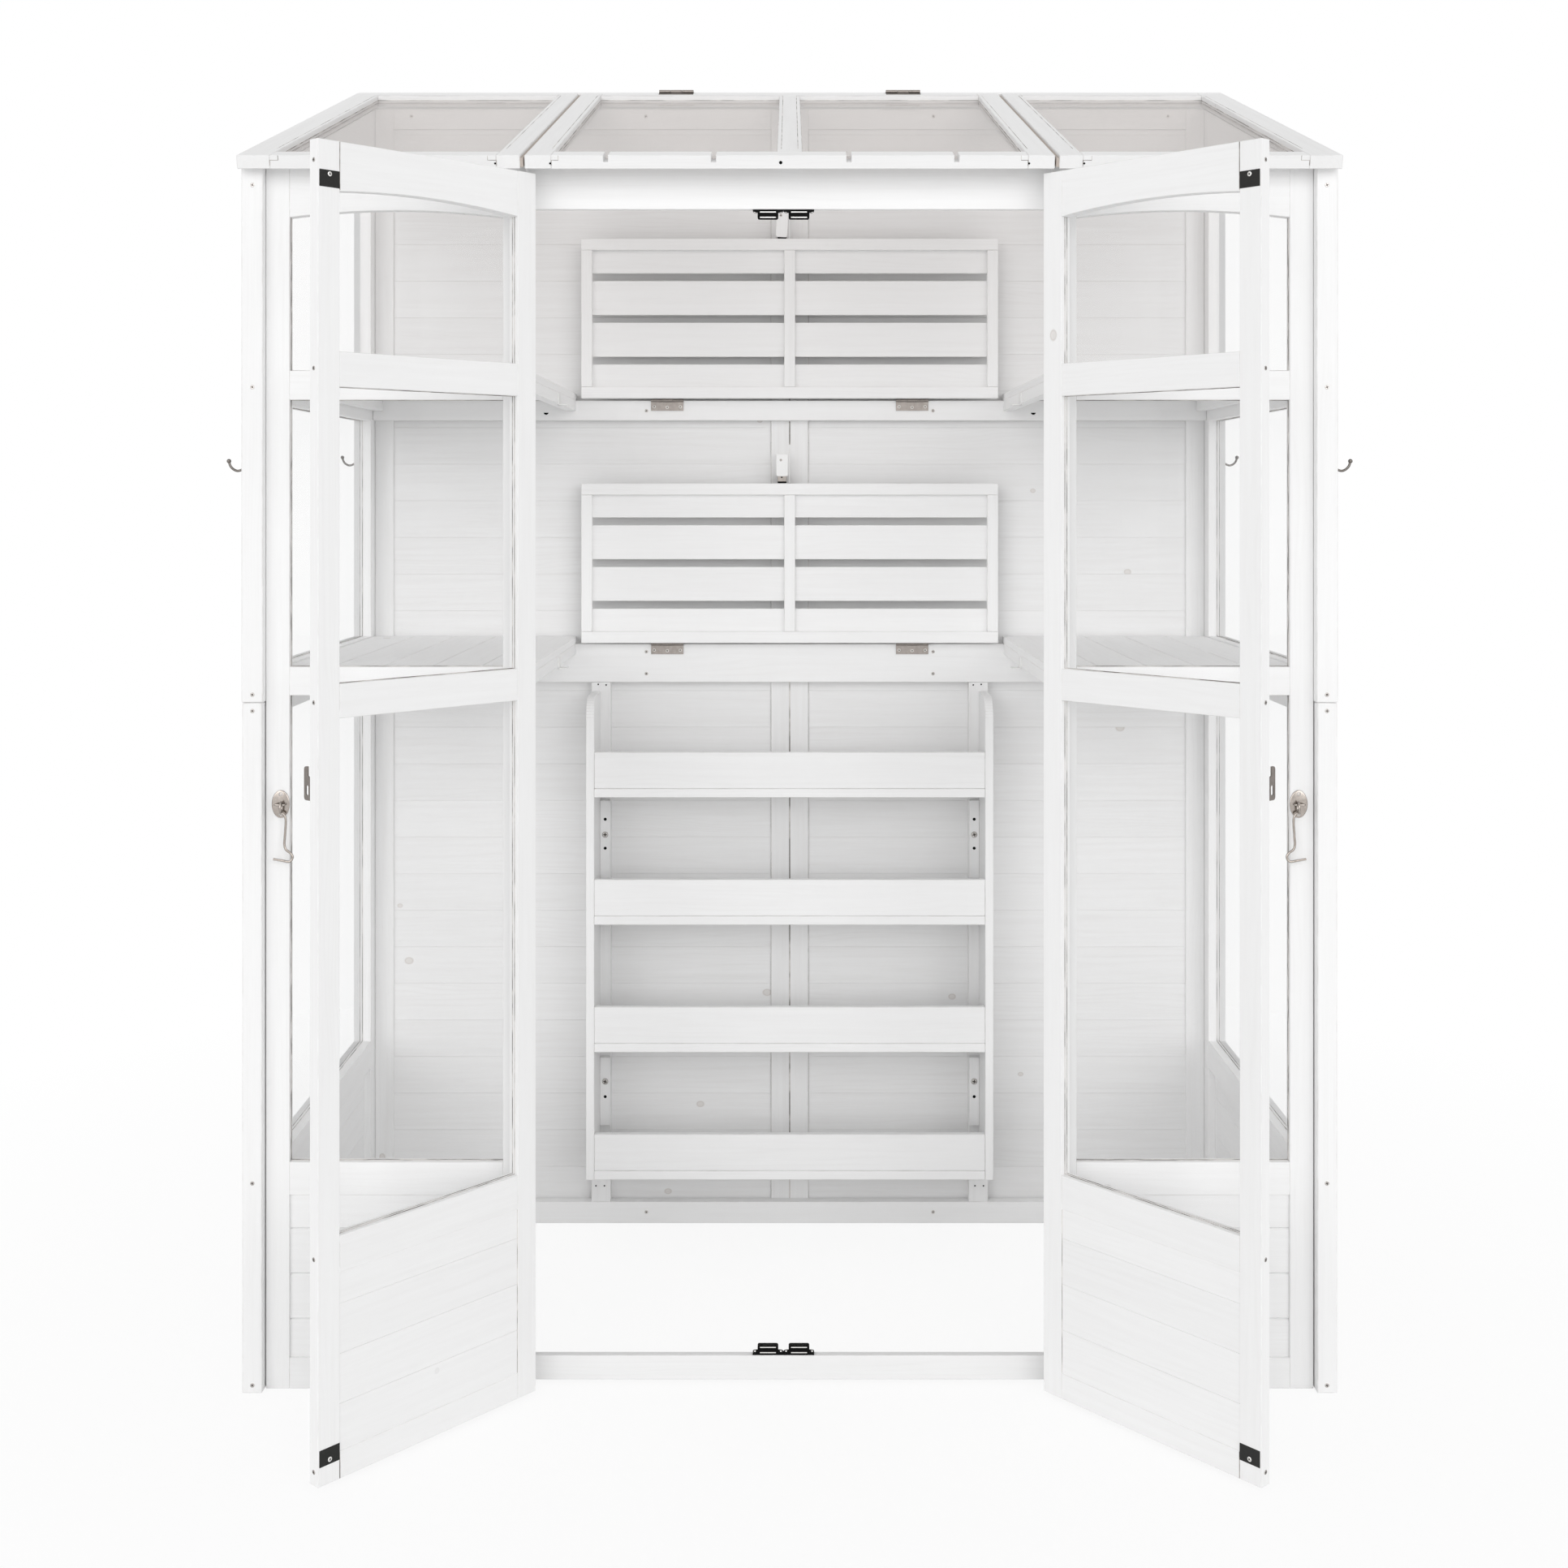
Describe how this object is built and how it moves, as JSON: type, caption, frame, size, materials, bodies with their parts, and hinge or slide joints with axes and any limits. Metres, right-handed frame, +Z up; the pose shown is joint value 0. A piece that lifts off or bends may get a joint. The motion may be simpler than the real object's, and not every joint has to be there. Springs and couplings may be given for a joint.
{
  "type": "walk-in mini greenhouse",
  "caption": "Whitewashed wooden lean-to greenhouse with double glazed doors, a lifting roof panel, side shelves, fold-down shelves and a hanging plant rack.",
  "frame": {"origin": "on the ground, in the middle of the part's own box with both doors open as pictured", "axes": "+X to the right seen from the front, +Y from the doors to the back wall, +Z up"},
  "size_m": [1.6182, 1.0716, 2.0188],
  "materials": {
    "whitewashed_wood": "thin white stain over planed fir, grain and knots faintly visible",
    "polycarbonate": "clear smooth polycarbonate sheet",
    "zinc_steel": "dull zinc plating",
    "nickel": "bright nickel plating",
    "black_plastic": "black moulded plastic"
  },
  "bodies": {
    "house": {"back_wall_left": "whitewashed_wood", "back_wall_right": "whitewashed_wood", "catch_bottom": "black_plastic", "catch_top": "black_plastic", "corner_post_left_lower": "whitewashed_wood", "corner_post_left_upper": "whitewashed_wood", "corner_post_right_lower": "whitewashed_wood", "corner_post_right_upper": "whitewashed_wood", "door_hinge_left_high": "zinc_steel", "door_hinge_left_low": "zinc_steel", "door_hinge_left_mid": "zinc_steel", "door_hinge_right_high": "zinc_steel", "door_hinge_right_low": "zinc_steel", "door_hinge_right_mid": "zinc_steel", "front_glazing_left": "polycarbonate", "front_glazing_right": "polycarbonate", "front_panel_left": "whitewashed_wood", "front_panel_right": "whitewashed_wood", "hinge_rail_lower": "whitewashed_wood", "hinge_rail_upper": "whitewashed_wood", "hook_plate_left": "nickel", "hook_plate_right": "nickel", "lintel": "whitewashed_wood", "plant_rack": "whitewashed_wood", "roof_glazing_left": "polycarbonate", "roof_glazing_right": "polycarbonate", "roof_panel_left": "whitewashed_wood", "roof_panel_right": "whitewashed_wood", "roof_rear_rail": "whitewashed_wood", "shelf_hinge_lower_left": "zinc_steel", "shelf_hinge_lower_right": "zinc_steel", "shelf_hinge_upper_left": "zinc_steel", "shelf_hinge_upper_right": "zinc_steel", "side_glazing_left": "polycarbonate", "side_glazing_right": "polycarbonate", "side_shelf_left_lower": "whitewashed_wood", "side_shelf_left_upper": "whitewashed_wood", "side_shelf_right_lower": "whitewashed_wood", "side_shelf_right_upper": "whitewashed_wood", "side_wall_left": "whitewashed_wood", "side_wall_right": "whitewashed_wood", "threshold": "whitewashed_wood", "tool_hook_left_front": "nickel", "tool_hook_left_rear": "nickel", "tool_hook_right_front": "nickel", "tool_hook_right_rear": "nickel"},
    "left_door": {"door_left": "whitewashed_wood", "door_glazing_left": "polycarbonate", "hasp_left": "zinc_steel"},
    "right_door": {"door_right": "whitewashed_wood", "door_glazing_right": "polycarbonate", "hasp_right": "zinc_steel"},
    "roof_vent": {"roof_panel_center": "whitewashed_wood", "roof_glazing_center_left": "polycarbonate", "roof_glazing_center_right": "polycarbonate"},
    "lower_folding_shelf": {"folding_shelf_lower": "whitewashed_wood"},
    "upper_folding_shelf": {"folding_shelf_upper": "whitewashed_wood"},
    "left_cabin_hook": {"cabin_hook_left": "nickel"},
    "right_cabin_hook": {"cabin_hook_right": "nickel"}
  },
  "joints": [
    {"name": "left_door_swing", "type": "hinge", "parent": "house", "child": "left_door", "pos_m": [-0.3765, -0.24051, 0.874], "axis": [0, 0, -1], "range_deg": [-131, 29]},
    {"name": "right_door_swing", "type": "hinge", "parent": "house", "child": "right_door", "pos_m": [0.3765, -0.24051, 0.874], "axis": [0, 0, 1], "range_deg": [-131, 29]},
    {"name": "roof_vent_lift", "type": "hinge", "parent": "house", "child": "roof_vent", "pos_m": [0, 0.50393, 2.01537], "axis": [-1, 0, 0], "range_deg": [0, 60]},
    {"name": "lower_shelf_fold", "type": "hinge", "parent": "house", "child": "lower_folding_shelf", "pos_m": [0, 0.41259, 1.0225], "axis": [1, 0, 0], "range_deg": [0, 90]},
    {"name": "upper_shelf_fold", "type": "hinge", "parent": "house", "child": "upper_folding_shelf", "pos_m": [0, 0.41259, 1.452], "axis": [1, 0, 0], "range_deg": [0, 90]},
    {"name": "left_hook_swing", "type": "hinge", "parent": "house", "child": "left_cabin_hook", "pos_m": [-0.731, -0.24701, 0.84], "axis": [-1, 0, 0], "range_deg": [-5, 175]},
    {"name": "right_hook_swing", "type": "hinge", "parent": "house", "child": "right_cabin_hook", "pos_m": [0.731, -0.24701, 0.84], "axis": [-1, 0, 0], "range_deg": [-5, 175]}
  ]
}
